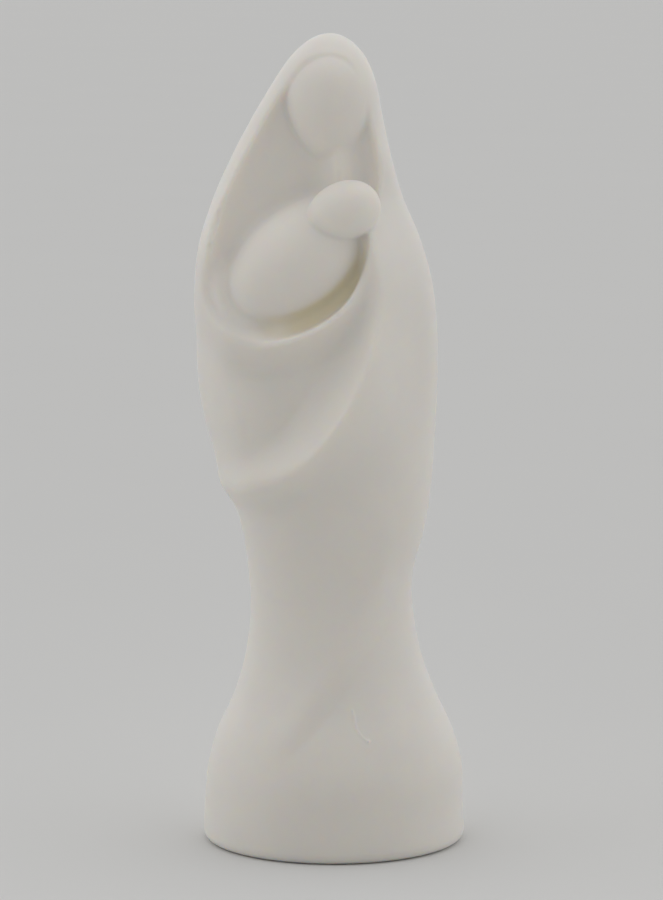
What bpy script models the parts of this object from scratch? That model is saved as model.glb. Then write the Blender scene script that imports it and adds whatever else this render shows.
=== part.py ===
"""Virgin and child statue: one cast piece, in metres, +Z up.

The figure faces -Y and stands on its flat underside at Z = 0. Its form is a smooth field: a number for each point
of space, under zero inside the statue and over zero outside. The field is written in shares of the statue's height,
so that the whole figure follows HEIGHT. A rough body is remeshed and drawn onto the surface where the field is
zero, and then thinned to flat triangles.

Run with: blender --background --python part.py
"""

import math
from dataclasses import dataclass

import bmesh
import bpy
import numpy as np

# Driving dimensions, in metres
HEIGHT = 0.200
FOOT_RADIUS = 0.0326
FOOT_WALL = 0.010
FOOT_EDGE = 0.0030
FOOT_SIDEWAYS = 0.0006

# Resolution of the mesh, in metres
VOXEL = 0.0016
PASSES = (2.0, 1.4, 1.0)
TRIANGLES = 9400
BED = 0.00006
SINK_FROM = 0.0001
SINK_STEPS = 40


@dataclass(frozen=True)
class Station:
    """A level of the draped figure, in shares of HEIGHT. The depths are shares of the half width."""

    height: float
    sideways: float
    half_width: float
    front: float
    back: float


FIGURE = (
    Station(0.096, 0.0045, 0.1575, 0.99, 0.98),
    Station(0.135, 0.0045, 0.1470, 0.97, 0.95),
    Station(0.180, 0.0045, 0.1265, 0.96, 0.93),
    Station(0.218, 0.0030, 0.1130, 0.96, 0.92),
    Station(0.275, 0.0010, 0.1020, 0.96, 0.92),
    Station(0.330, -0.0010, 0.1010, 0.95, 0.92),
    Station(0.388, 0.0020, 0.1120, 0.92, 0.88),
    Station(0.440, 0.0000, 0.1225, 0.90, 0.84),
    Station(0.500, -0.0080, 0.1375, 0.87, 0.80),
    Station(0.570, -0.0135, 0.1475, 0.85, 0.77),
    Station(0.635, -0.0155, 0.1485, 0.85, 0.76),
    Station(0.700, -0.0180, 0.1420, 0.85, 0.77),
    Station(0.750, -0.0235, 0.1325, 0.87, 0.80),
    Station(0.800, -0.0275, 0.1165, 0.90, 0.84),
    Station(0.850, -0.0240, 0.0980, 0.93, 0.89),
    Station(0.900, -0.0165, 0.0790, 0.98, 0.93),
    Station(0.940, -0.0085, 0.0630, 1.20, 0.96),
    Station(0.975, -0.0040, 0.0430, 1.60, 0.98),
    Station(1.000, -0.0020, 0.0000, 1.80, 1.00),
)
FOOT_TAPER = 0.985
SQUARENESS = 1.5
SQUARE_LEFT = (0.62, 0.78)
SQUARE_RIGHT = (0.80, 0.87)
SQUARE_FRONT = (0.0, 0.03)


@dataclass(frozen=True)
class Egg:
    """A rounded body: middle and half axes in shares of HEIGHT, turned about Y by tilt degrees, +X towards +Z.

    The taper widens the far end of its first axis.
    """

    middle: tuple
    half_axes: tuple
    tilt: float
    taper: float = 0.0


@dataclass(frozen=True)
class Swell:
    """A soft rise or dip of the front: middle and half axes across and up, turn in degrees, and height."""

    middle: tuple
    half_axes: tuple
    tilt: float
    height: float


# Face, neck and child
FACE = Egg((-0.0025, -0.0440, 0.9150), (0.0645, 0.0530, 0.0525), 90.0, 0.22)
NECK = Egg((0.0090, -0.0400, 0.8350), (0.0140, 0.0330, 0.0750), 4.0)
CHILD_BODY = Egg((-0.0418, -0.0700, 0.7275), (0.0925, 0.0660, 0.0615), 40.5)
CHILD_HEAD = Egg((0.0145, -0.1030, 0.7915), (0.0455, 0.0380, 0.0350), 18.0, 0.08)

# Ellipses in the front view that the folds follow
LIP = Egg((-0.0555, 0.0, 0.7225), (0.1130, 1.0, 0.0790), 29.5)
SLEEVE = Egg((-0.0560, 0.0, 0.6225), (0.1800, 1.0, 0.1000), 64.8)

# Opening of the hood
RIM_SIDES = (0.0045, 0.0030)
RIM_TOP = 0.0130
RIM_RISE = (0.90, 1.00)
RIM_TURN = (-0.03, 0.03)
RIGHT_EDGE = (0.0505, 0.7500, 0.27)

# Hollow behind the opening
HOLLOW_DEPTH = 0.0480
CROWN_DEPTH = 0.0540
CROWN_LEVEL = (0.88, 0.97)
HOLLOW_MIDDLE = -0.020
HOLLOW_WIDTH = 0.100
HOLLOW_RISE = 0.0150
BOWL_DEPTH = 0.0450
BOWL_REACH = (-0.060, -0.005)
BOWL_LEVEL = (0.74, 0.65)
BOWL_SIDE = (0.03, 0.10)
HOLLOW_EDGE = 0.0090
HOLLOW_SPREAD = 0.0220

# Gap between the child's lower right side and the lip of cloth
CREVICE_DEPTH = 0.0260
CREVICE_MIDDLE = 0.000
CREVICE_HALF_LENGTH = 0.102
CREVICE_REACH = (0.000, 0.020)
CREVICE_START = (-0.120, -0.060)
CREVICE_FRONT = -0.040

# Folds of the front
FACING = (-0.05, 0.02)
SLEEVE_RIDGE = 0.0240
SLEEVE_INSIDE = (0.0290, 0.0190)
SLEEVE_OUTSIDE = (0.0220, 0.0340)
SLEEVE_RISING = (-0.08, 0.04)
SLEEVE_START = (0.84, 0.70)
SLEEVE_END = (-0.030, 0.030)
LIP_RIDGE = 0.0080
LIP_WIDTH = 0.0220
LIP_INSIDE = 0.5
LIP_INSET = 0.0010
POCKET_DEPTH = 0.0380
POCKET_WALL = 0.0560
POCKET_TOP = (-0.0100, 0.0500)
POCKET_SIDE = (-0.1550, -0.0550)
POCKET_LEAN = 0.42
POCKET_LEVEL = 0.60
ELBOW = Swell((-0.1080, 0.5450), (0.0850, 0.0420), 100.0, 0.0140)
ARM = Swell((0.0850, 0.6500), (0.1300, 0.0360), 100.0, -0.0150)

# Lower edge of the mantle
HEM_LEVEL = 0.1775
HEM_SLOPE = 1.214
HEM_CURVE = 4.1
HEM_STEP = 0.0170
HEM_EDGE = 0.0440
HEM_FADE = 0.0420
HEM_TOP = (0.50, 0.35)
HEM_LEFT = (-0.10, -0.02)
HEM_RIGHT = (0.060, 0.090)
HEM_RIGHT_SHARE = 0.6

# Swelling of the rough body where the child's head comes forward
START_SWELL = Swell((0.0145, 0.7915), (0.06, 0.06), 0.0, 0.05)

# Rounding of the joins, in shares of HEIGHT
RIM_ROUND = 0.0042
RIM_ROUND_LEVEL = (0.76, 0.70)
FLOOR_ROUND = (0.0300, 0.0080)
LIP_ROUND = (0.0240, 0.0070)
SIDE_ROUND = 0.02
MOUTH_ROUND = 0.004
WINDOW_ROUND = 0.002
FACE_ROUND = 0.0080
NECK_ROUND = 0.0300
CHILD_ROUND = (0.0250, 0.0080)
HEAD_ROUND = 0.0050


def smooth_curve(at, knots, values):
    """A smooth curve through the values at the knots, read at each place of at."""
    slope = np.gradient(values, knots)
    index = np.clip(np.searchsorted(knots, at) - 1, 0, len(knots) - 2)
    width = knots[index + 1] - knots[index]
    t = np.clip((at - knots[index]) / width, 0.0, 1.0)
    rise = t * t * (3.0 - 2.0 * t)
    start = t * (1.0 - t) ** 2 * width * slope[index]
    end = t * t * (t - 1.0) * width * slope[index + 1]
    return values[index] * (1.0 - rise) + values[index + 1] * rise + start + end


def smooth_step(value, start, end):
    """0 before start, 1 after end, with a smooth rise between."""
    t = np.clip((value - start) / (end - start), 0.0, 1.0)
    return t * t * (3.0 - 2.0 * t)


def between(first, second, share):
    """The number that lies the given share of the way from first to second."""
    return first + (second - first) * share


def joined(first, second, radius):
    """The union of two fields, with a fillet of about the radius."""
    near = np.clip(radius - np.abs(first - second), 0.0, None) / radius
    return np.minimum(first, second) - near * near * radius / 4.0


def overlap(first, second, radius):
    """The space common to two fields, with a rounded edge of about the radius."""
    return -joined(-first, -second, radius)


def levels():
    """The stations of the whole figure, with the foot under it, as columns in shares of HEIGHT."""
    wall = FOOT_WALL / HEIGHT
    foot = FOOT_RADIUS / HEIGHT
    sideways = FOOT_SIDEWAYS / HEIGHT
    rows = [(level, sideways, foot, 1.0, 1.0) for level in (-wall, 0.0)]
    rows.append((wall, sideways, foot * FOOT_TAPER, 1.0, 1.0))
    for s in FIGURE:
        rows.append((s.height, s.sideways, s.half_width, s.front, s.back))
    return np.array(rows).T


LEVEL, SIDEWAYS, HALF_WIDTH, FRONT, BACK = levels()


def width_squared(height):
    """The square of the half width at each height. It falls below zero over the crown."""
    square = smooth_curve(height, LEVEL, HALF_WIDTH**2)
    above = np.clip(height - LEVEL[-1], 0.0, None)
    return square - above * HALF_WIDTH[-2] ** 2 / (LEVEL[-1] - LEVEL[-2])


def growth(height):
    """How fast the square of the half width grows with height."""
    step = 0.0005
    return (width_squared(height + step) - width_squared(height - step)) / (2.0 * step)


def outline(across, height):
    """Distance, about, from the silhouette of the front view at (across, height)."""
    away = across - smooth_curve(height, LEVEL, SIDEWAYS)
    slope = np.sqrt(4.0 * away**2 + growth(height) ** 2 + 1e-12)
    return (away**2 - width_squared(height)) / slope


def drape(p):
    """The draped figure without its carving: an oval at each height, squarer where the hood comes forward."""
    x, y, z = p.T
    depth = np.where(y < 0.0, smooth_curve(z, LEVEL, FRONT), smooth_curve(z, LEVEL, BACK))
    away = x - smooth_curve(z, LEVEL, SIDEWAYS)
    square = np.where(away < 0.0, smooth_step(z, *SQUARE_LEFT), smooth_step(z, *SQUARE_RIGHT))
    power = 2.0 + SQUARENESS * square * smooth_step(-y, *SQUARE_FRONT)
    across = np.abs(away) + 1e-6
    forward = np.abs(y / depth) + 1e-6
    total = across**power + forward**power
    reach = total ** (2.0 / power)
    steep = reach / total
    along_x = steep * across ** (power - 1.0)
    along_y = steep * forward ** (power - 1.0) / depth
    slope = np.sqrt(4.0 * along_x**2 + 4.0 * along_y**2 + growth(z) ** 2 + 1e-12)
    return (reach - width_squared(z)) / slope


def along(p, shape):
    """How far each point lies along an egg's long axis in the front view."""
    turn = math.radians(shape.tilt)
    return (p[:, 0] - shape.middle[0]) * math.cos(turn) + (p[:, 2] - shape.middle[2]) * math.sin(turn)


def under(p, shape):
    """How far each point lies under an egg's long axis in the front view."""
    turn = math.radians(shape.tilt)
    return (p[:, 0] - shape.middle[0]) * math.sin(turn) - (p[:, 2] - shape.middle[2]) * math.cos(turn)


def egg(p, shape):
    """Distance, about, from the surface of an egg."""
    depth = p[:, 1] - shape.middle[1]
    scaled = np.stack([along(p, shape), depth, -under(p, shape)], 1) / np.array(shape.half_axes)
    swelling = 1.0 + shape.taper * np.clip(scaled[:, 0], -1.5, 1.5)
    scaled[:, 1:] /= swelling[:, None]
    reach = np.linalg.norm(scaled, axis=1)
    slope = np.linalg.norm(scaled / np.array(shape.half_axes), axis=1)
    return reach * (reach - 1.0) / np.maximum(slope, 1e-9)


def front_ring(p, shape):
    """Distance, about, from an ellipse of the front view, whatever the depth."""
    return egg(p * np.array([1.0, 0.0, 1.0]), shape)


def swell(p, shape):
    """The rise of one swell of the front."""
    turn = math.radians(shape.tilt)
    x = p[:, 0] - shape.middle[0]
    z = p[:, 2] - shape.middle[1]
    lengthwise = (x * math.cos(turn) + z * math.sin(turn)) / shape.half_axes[0]
    crosswise = (z * math.cos(turn) - x * math.sin(turn)) / shape.half_axes[1]
    return shape.height * np.exp(-(lengthwise**2) - crosswise**2)


def lip_rise(p):
    """How far the rolled edge of cloth around the child stands out of the drape."""
    away = front_ring(p, LIP)
    width = np.where(away < 0.0, LIP_INSIDE, 1.0) * LIP_WIDTH
    return LIP_RIDGE * np.exp(-((away / width) ** 2))


def sleeve_rise(p):
    """How far the mantle's crescent edge stands out of the drape."""
    away = front_ring(p, SLEEVE)
    rising = smooth_step(p[:, 0], *SLEEVE_RISING)
    width = np.where(away < 0.0, between(*SLEEVE_INSIDE, rising), between(*SLEEVE_OUTSIDE, rising))
    strength = smooth_step(p[:, 2], *SLEEVE_START) * smooth_step(under(p, SLEEVE), *SLEEVE_END)
    return SLEEVE_RIDGE * np.exp(-((away / width) ** 2)) * strength


def pocket_dip(p):
    """How far the cloth falls back between the lip and the crescent edge."""
    beside = p[:, 0] + POCKET_LEAN * (p[:, 2] - POCKET_LEVEL)
    share = smooth_step(-front_ring(p, SLEEVE), 0.0, POCKET_WALL) * smooth_step(front_ring(p, LIP), *POCKET_TOP)
    return share * smooth_step(beside, *POCKET_SIDE) * POCKET_DEPTH


def hem_rise(p):
    """How far the mantle's lower edge stands out of the skirt."""
    across = p[:, 0]
    line = HEM_LEVEL + HEM_SLOPE * across + HEM_CURVE * across**2
    slope = HEM_SLOPE + 2.0 * HEM_CURVE * across
    above = (p[:, 2] - line) / np.sqrt(1.0 + slope**2)
    edge = smooth_step(above, 0.0, HEM_EDGE) * np.exp(-np.clip(above, 0.0, None) / HEM_FADE)
    low = smooth_step(p[:, 2], *HEM_TOP) * smooth_step(across, *HEM_LEFT)
    return HEM_STEP * edge * low * between(1.0, HEM_RIGHT_SHARE, smooth_step(across, *HEM_RIGHT))


def folds(p):
    """How far the cloth stands out from the plain drape."""
    front = lip_rise(p) + sleeve_rise(p) + swell(p, ELBOW) + swell(p, ARM) - pocket_dip(p)
    return smooth_step(-p[:, 1], *FACING) * front + hem_rise(p)


def crevice(p):
    """1 in the gap under the child's lower right side, and 0 on the other sides of the child."""
    return smooth_step(under(p, CHILD_BODY), *CREVICE_REACH) * smooth_step(p[:, 0], *CREVICE_START)


def crevice_fall(p):
    """How far the gap's floor lies under the cloth: most at its middle, nothing at its ends."""
    away = (along(p, CHILD_BODY) - CREVICE_MIDDLE) / CREVICE_HALF_LENGTH
    return CREVICE_DEPTH * np.clip(1.0 - away**2, 0.0, None)


def hood_opening(p):
    """Distance, about, from the edge of the hood's opening in the front view."""
    side = between(*RIM_SIDES, smooth_step(p[:, 0], *RIM_TURN))
    rim = between(side, RIM_TOP, smooth_step(p[:, 2], *RIM_RISE))
    return outline(p[:, 0], p[:, 2]) + rim


def hollow_floor(p, opening):
    """How far forward the floor of the hollow stands."""
    x, _, z = p.T
    bowl = smooth_step(front_ring(p, LIP), *BOWL_REACH) * smooth_step(z, *BOWL_LEVEL)
    bowl = bowl * smooth_step(-x, *BOWL_SIDE)
    floor = between(HOLLOW_DEPTH, CROWN_DEPTH, smooth_step(z, *CROWN_LEVEL))
    floor = floor + HOLLOW_RISE * ((x - HOLLOW_MIDDLE) / HOLLOW_WIDTH) ** 2 + BOWL_DEPTH * bowl
    return floor + HOLLOW_EDGE * np.exp(np.minimum(opening, 0.0) / HOLLOW_SPREAD)


def hollow(p, gap, share):
    """The space inside the hood and behind the child, open to the front.

    The gap is the distance behind the crevice's floor, and the share is 1 in the crevice.
    """
    x, y, z = p.T
    opening = hood_opening(p)
    behind = between(hollow_floor(p, opening) + y, gap, share)
    window = joined(under(p, LIP), front_ring(p, LIP) + LIP_INSET, WINDOW_ROUND)
    across, level, lean = RIGHT_EDGE
    right = (x - across - lean * (z - level)) / math.hypot(1.0, lean)
    window = overlap(window, right, SIDE_ROUND)
    window = overlap(window, opening, MOUTH_ROUND)
    return overlap(behind, window, between(*FLOOR_ROUND, share))


def statue(points):
    """The field of the whole statue, in metres, at points in metres."""
    p = points / HEIGHT
    share = crevice(p)
    body = drape(p) - folds(p)
    edge = between(RIM_ROUND, between(*LIP_ROUND, share), smooth_step(p[:, 2], *RIM_ROUND_LEVEL))
    gap = np.maximum(-body - crevice_fall(p), p[:, 1] - CREVICE_FRONT)
    body = overlap(body, -hollow(p, gap, share), edge)
    body = joined(body, egg(p, NECK), NECK_ROUND)
    body = joined(body, egg(p, FACE), FACE_ROUND)
    body = joined(body, egg(p, CHILD_BODY), between(*CHILD_ROUND, share))
    body = joined(body, egg(p, CHILD_HEAD), HEAD_ROUND)
    return overlap(body, -p[:, 2], FOOT_EDGE / HEIGHT) * HEIGHT


def gradient(points):
    """The field and its gradient at each point."""
    step = HEIGHT / 4000.0
    slopes = []
    for axis in np.eye(3):
        slopes.append((statue(points + axis * step) - statue(points - axis * step)) / (2.0 * step))
    return statue(points), np.stack(slopes, 1)


def points_of(mesh):
    """The vertices of a mesh as an array of rows."""
    flat = np.empty(len(mesh.vertices) * 3)
    mesh.vertices.foreach_get("co", flat)
    return flat.reshape(-1, 3)


def place_points(mesh, points):
    """Puts the vertices of a mesh at the points."""
    mesh.vertices.foreach_set("co", points.ravel())
    mesh.update()


def draw_onto_form(mesh, rounds, reach):
    """Moves each vertex onto the surface, by at most reach in a round."""
    p = points_of(mesh)
    for _ in range(rounds):
        value, slope = gradient(p)
        step = slope * (value / np.maximum((slope**2).sum(1), 0.05))[:, None]
        length = np.linalg.norm(step, axis=1, keepdims=True)
        p -= step * np.minimum(1.0, reach / np.maximum(length, 1e-12))
    place_points(mesh, p)


def sink_into_crevice(mesh, steps):
    """Moves the skin that bridges the crevice straight back until it meets the crevice's floor."""
    p = points_of(mesh)
    near = (crevice(p / HEIGHT) > 0.01) & (p[:, 1] < CREVICE_FRONT * HEIGHT)
    over = np.flatnonzero(near & (statue(p) > SINK_FROM))
    q = p[over]
    for _ in range(steps):
        q[:, 1] += np.clip(statue(q) - SINK_FROM, 0.0, None) * 0.8
    p[over] = q
    place_points(mesh, p)


def relax(mesh):
    """Evens the spacing of the vertices."""
    bm = bmesh.new()
    bm.from_mesh(mesh)
    bmesh.ops.smooth_vert(bm, verts=bm.verts, factor=0.5, use_axis_x=True, use_axis_y=True, use_axis_z=True)
    bm.to_mesh(mesh)
    bm.free()


def applied(obj, kind, **settings):
    """Replaces an object's mesh by what a modifier makes of it."""
    modifier = obj.modifiers.new(kind.title(), kind)
    for name, value in settings.items():
        setattr(modifier, name, value)
    graph = bpy.context.evaluated_depsgraph_get()
    made = bpy.data.meshes.new_from_object(obj.evaluated_get(graph))
    obj.modifiers.clear()
    old = obj.data
    obj.data = made
    bpy.data.meshes.remove(old)


def rough_body():
    """A ball stretched over the drape, swollen where the child's head comes forward."""
    bm = bmesh.new()
    bmesh.ops.create_uvsphere(bm, u_segments=64, v_segments=64, radius=1.0)
    for vert in bm.verts:
        level = np.array([0.5 + 0.5 * vert.co.z])
        around = math.atan2(vert.co.y, vert.co.x)
        half = math.sqrt(max(0.0, float(width_squared(level)[0]))) * HEIGHT
        half *= min(1.0, math.sqrt(max(0.0, 1.0 - vert.co.z**2)) * 4.0)
        across = float(smooth_curve(level, LEVEL, SIDEWAYS)[0]) * HEIGHT + half * math.cos(around)
        spot = np.array([[across / HEIGHT, 0.0, level[0]]])
        forward = float(swell(spot, START_SWELL)[0]) * HEIGHT * max(0.0, -math.sin(around))
        vert.co = (across, 0.9 * half * math.sin(around) - forward, level[0] * HEIGHT)
    bm.normal_update()
    mesh = bpy.data.meshes.new("virgin_and_child")
    bm.to_mesh(mesh)
    bm.free()
    return mesh


def cut_flat(mesh):
    """Cuts the underside to one flat face at Z = 0."""
    bm = bmesh.new()
    bm.from_mesh(mesh)
    geometry = bm.verts[:] + bm.edges[:] + bm.faces[:]
    bmesh.ops.bisect_plane(bm, geom=geometry, plane_co=(0, 0, BED), plane_no=(0, 0, 1), clear_inner=True)
    rim = [edge for edge in bm.edges if edge.is_boundary]
    for vert in {vert for edge in rim for vert in edge.verts}:
        vert.co.z = 0.0
    bmesh.ops.contextual_create(bm, geom=rim)
    bmesh.ops.triangulate(bm, faces=[face for face in bm.faces if len(face.verts) > 3])
    bmesh.ops.recalc_face_normals(bm, faces=bm.faces)
    bm.to_mesh(mesh)
    bm.free()


def cast_material():
    """The satin, slightly warm white of the casting."""
    material = bpy.data.materials.new("warm_white_cast")
    material.use_nodes = True
    shader = material.node_tree.nodes["Principled BSDF"]
    shader.inputs["Base Color"].default_value = (0.83, 0.81, 0.78, 1.0)
    shader.inputs["Roughness"].default_value = 0.5
    shader.inputs["Metallic"].default_value = 0.0
    return material


def make_statue():
    """Builds the statue's object."""
    obj = bpy.data.objects.new("virgin_and_child", rough_body())
    bpy.context.scene.collection.objects.link(obj)
    for size in PASSES:
        applied(obj, "REMESH", mode="VOXEL", voxel_size=VOXEL * size, adaptivity=0.0)
        sink_into_crevice(obj.data, SINK_STEPS)
        for _ in range(4):
            draw_onto_form(obj.data, 2, VOXEL * 1.5)
            relax(obj.data)
        draw_onto_form(obj.data, 4, VOXEL)
    faces = sum(len(face.vertices) - 2 for face in obj.data.polygons)
    applied(obj, "DECIMATE", ratio=TRIANGLES / faces)
    draw_onto_form(obj.data, 2, VOXEL * 0.25)
    cut_flat(obj.data)
    obj.data.shade_smooth()
    obj.data.materials.append(cast_material())


def main():
    """Clears the scene and builds the part."""
    for obj in list(bpy.data.objects):
        bpy.data.objects.remove(obj, do_unlink=True)
    make_statue()


if __name__ == "__main__":
    main()
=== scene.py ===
"""The virgin and child statue, dressed: one satin, warm white casting on a pale studio floor.

The figure's form is a field: a number for each point of space, under zero inside the statue and over zero
outside. All of its sizes are shares of the statue's height. A rough body is remeshed finely and drawn onto
the surface where the field is zero, so the casting keeps the form of the solid and adds what is too fine for
it.
"""

import sys

import logging
import math
from dataclasses import dataclass, field
from enum import Enum
from functools import cached_property

import bmesh
import bpy
import numpy as np
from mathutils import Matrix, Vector


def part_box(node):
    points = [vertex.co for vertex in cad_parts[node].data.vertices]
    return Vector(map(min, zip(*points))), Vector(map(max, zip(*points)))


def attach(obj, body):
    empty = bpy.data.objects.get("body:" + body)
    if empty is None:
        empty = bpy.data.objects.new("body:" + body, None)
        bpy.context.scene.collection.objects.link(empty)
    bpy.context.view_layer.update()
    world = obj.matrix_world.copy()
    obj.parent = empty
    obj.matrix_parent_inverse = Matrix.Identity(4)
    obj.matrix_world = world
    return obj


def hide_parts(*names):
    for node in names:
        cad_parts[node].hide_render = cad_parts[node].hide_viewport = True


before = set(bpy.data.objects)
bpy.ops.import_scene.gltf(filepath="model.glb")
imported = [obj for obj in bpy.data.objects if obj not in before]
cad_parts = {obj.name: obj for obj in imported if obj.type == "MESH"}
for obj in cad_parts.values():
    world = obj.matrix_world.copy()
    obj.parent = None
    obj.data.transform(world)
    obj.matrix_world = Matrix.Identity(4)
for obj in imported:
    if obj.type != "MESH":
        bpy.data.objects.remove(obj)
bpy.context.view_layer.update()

LOG = logging.getLogger("statue")
Pair = tuple[float, float]
Triple = tuple[float, float, float]
Colour = tuple[float, float, float]
# Name of the mesh attribute for the painted shade: how deep each vertex lies in the crevice.
CREVICE_SHADE_MARK = "crevice"
# Numbers too small to be seen, which keep a root or a quotient sound.
TINY = 1e-12
LEAST_SLOPE = 1e-9
SPECK = 1e-6


class Resolution(Enum):
    """Voxel sizes of the casting's mesh, in metres."""

    QUICK = 0.0011
    FULL = 0.0007


class Slot(Enum):
    """Material slot names."""

    CAST_BODY = "cast_body"


class Ramp(Enum):
    """Ways of going from one end of a range to the other."""

    LINEAR = "LINEAR"
    SMOOTH = "SMOOTHSTEP"


def smooth_step(value: np.ndarray, start: float, end: float) -> np.ndarray:
    """Rises smoothly from 0 at start to 1 at end.

    Args:
        value: The numbers to read the step at.
        start: Where the step begins.
        end: Where it ends. It may be less than start.

    Returns:
        A number from 0 to 1 for each value.
    """
    t = np.clip((value - start) / (end - start), 0.0, 1.0)
    return t * t * (3.0 - 2.0 * t)


def between(first: float, second: float, share: np.ndarray) -> np.ndarray:
    """The number that lies the given share of the way from first to second.

    Args:
        first: The number at share 0.
        second: The number at share 1.
        share: How far to go, from 0 to 1.

    Returns:
        The number for each share.
    """
    return first + (second - first) * share


def smooth_curve(at: np.ndarray, knots: np.ndarray, values: np.ndarray) -> np.ndarray:
    """Reads a smooth curve that passes through the values at the knots.

    Args:
        at: The places to read the curve at.
        knots: The rising places of the knots.
        values: The curve's value at each knot.

    Returns:
        The curve's value at each place.
    """
    slope = np.gradient(values, knots)
    index = np.clip(np.searchsorted(knots, at) - 1, 0, len(knots) - 2)
    width = knots[index + 1] - knots[index]
    t = np.clip((at - knots[index]) / width, 0.0, 1.0)
    rise = t * t * (3.0 - 2.0 * t)
    start = t * (1.0 - t) ** 2 * width * slope[index]
    end = t * t * (t - 1.0) * width * slope[index + 1]
    return values[index] * (1.0 - rise) + values[index + 1] * rise + start + end


def joined(first: np.ndarray, second: np.ndarray, radius: np.ndarray | float) -> np.ndarray:
    """Unites two fields and fills the corner between them.

    Args:
        first: One field's values.
        second: The other field's values.
        radius: About the radius of the fillet.

    Returns:
        The united field's values.
    """
    near = np.clip(radius - np.abs(first - second), 0.0, None) / radius
    return np.minimum(first, second) - near * near * radius / 4.0


def overlap(first: np.ndarray, second: np.ndarray, radius: np.ndarray | float) -> np.ndarray:
    """The space common to two fields, with its edge rounded.

    Args:
        first: One field's values.
        second: The other field's values.
        radius: About the radius of the rounding.

    Returns:
        The common field's values.
    """
    return -joined(-first, -second, radius)


@dataclass(frozen=True)
class Station:
    """A level of the draped figure. The depths are shares of the half width."""

    height: float
    sideways: float
    half_width: float
    front: float
    back: float


@dataclass(frozen=True)
class Foot:
    """The round foot that the figure flares into: the taper narrows it at the wall's height."""

    radius: float = 0.163
    wall: float = 0.050
    sideways: float = 0.003
    taper: float = 0.985
    edge: float = 0.0150


@dataclass(frozen=True)
class Drape:
    """The draped figure without its carving: an oval at each height, squarer in front at the hood."""

    foot: Foot = Foot()
    squareness: float = 1.5
    square_left: Pair = (0.62, 0.78)
    square_right: Pair = (0.80, 0.87)
    square_front: Pair = (0.0, 0.03)
    growth_step: float = 0.0005
    stations: tuple[Station, ...] = (
        Station(0.096, 0.0045, 0.1575, 0.99, 0.98),
        Station(0.135, 0.0045, 0.1470, 0.97, 0.95),
        Station(0.180, 0.0045, 0.1265, 0.96, 0.93),
        Station(0.218, 0.0030, 0.1130, 0.96, 0.92),
        Station(0.275, 0.0010, 0.1020, 0.96, 0.92),
        Station(0.330, -0.0010, 0.1010, 0.95, 0.92),
        Station(0.388, 0.0020, 0.1120, 0.92, 0.88),
        Station(0.440, 0.0000, 0.1225, 0.90, 0.84),
        Station(0.500, -0.0080, 0.1375, 0.87, 0.80),
        Station(0.570, -0.0135, 0.1475, 0.85, 0.77),
        Station(0.635, -0.0155, 0.1485, 0.85, 0.76),
        Station(0.700, -0.0180, 0.1420, 0.85, 0.77),
        Station(0.750, -0.0235, 0.1325, 0.87, 0.80),
        Station(0.800, -0.0275, 0.1165, 0.90, 0.84),
        Station(0.850, -0.0240, 0.0980, 0.93, 0.89),
        Station(0.900, -0.0165, 0.0790, 0.98, 0.93),
        Station(0.940, -0.0085, 0.0630, 1.20, 0.96),
        Station(0.975, -0.0040, 0.0430, 1.60, 0.98),
        Station(1.000, -0.0020, 0.0000, 1.80, 1.00),
    )

    @cached_property
    def rows(self) -> np.ndarray:
        """The foot's levels and the stations, as five rows.

        Returns:
            The levels, the sideways places, the half widths, and the front and back depths.
        """
        foot = self.foot
        low = [(level, foot.sideways, foot.radius, 1.0, 1.0) for level in (-foot.wall, 0.0)]
        low.append((foot.wall, foot.sideways, foot.radius * foot.taper, 1.0, 1.0))
        high = [(s.height, s.sideways, s.half_width, s.front, s.back) for s in self.stations]
        return np.array(low + high).T

    def width_squared(self, height: np.ndarray) -> np.ndarray:
        """The square of the half width. It falls below zero over the crown.

        Args:
            height: The heights to read it at.

        Returns:
            The square for each height.
        """
        level, _, half, _, _ = self.rows
        square = smooth_curve(height, level, half**2)
        above = np.clip(height - level[-1], 0.0, None)
        return square - above * half[-2] ** 2 / (level[-1] - level[-2])

    def growth(self, height: np.ndarray) -> np.ndarray:
        """How fast the square of the half width grows.

        Args:
            height: The heights to read it at.

        Returns:
            The growth for each height.
        """
        step = self.growth_step
        return (self.width_squared(height + step) - self.width_squared(height - step)) / (2.0 * step)

    def sideways(self, height: np.ndarray) -> np.ndarray:
        """Where the figure's middle line stands at each height."""
        return smooth_curve(height, self.rows[0], self.rows[1])

    def outline(self, across: np.ndarray, height: np.ndarray) -> np.ndarray:
        """Distance, about, from the silhouette of the front view.

        Args:
            across: How far to the right each point lies.
            height: How high it lies.

        Returns:
            The distance for each point, under zero inside.
        """
        away = across - self.sideways(height)
        slope = np.sqrt(4.0 * away**2 + self.growth(height) ** 2 + TINY)
        return (away**2 - self.width_squared(height)) / slope

    def distance(self, p: np.ndarray) -> np.ndarray:
        """Distance, about, from the plain drape.

        Args:
            p: The points, one row each, in shares of the height.

        Returns:
            The distance for each point, under zero inside.
        """
        x, y, z = p.T
        level, _, _, front, back = self.rows
        depth = np.where(y < 0.0, smooth_curve(z, level, front), smooth_curve(z, level, back))
        away = x - self.sideways(z)
        left, right = smooth_step(z, *self.square_left), smooth_step(z, *self.square_right)
        square = np.where(away < 0.0, left, right)
        power = 2.0 + self.squareness * square * smooth_step(-y, *self.square_front)
        across = np.abs(away) + SPECK
        forward = np.abs(y / depth) + SPECK
        total = across**power + forward**power
        reach = total ** (2.0 / power)
        steep = reach / total
        along_x = steep * across ** (power - 1.0)
        along_y = steep * forward ** (power - 1.0) / depth
        slope = np.sqrt(4.0 * along_x**2 + 4.0 * along_y**2 + self.growth(z) ** 2 + TINY)
        return (reach - self.width_squared(z)) / slope


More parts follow.
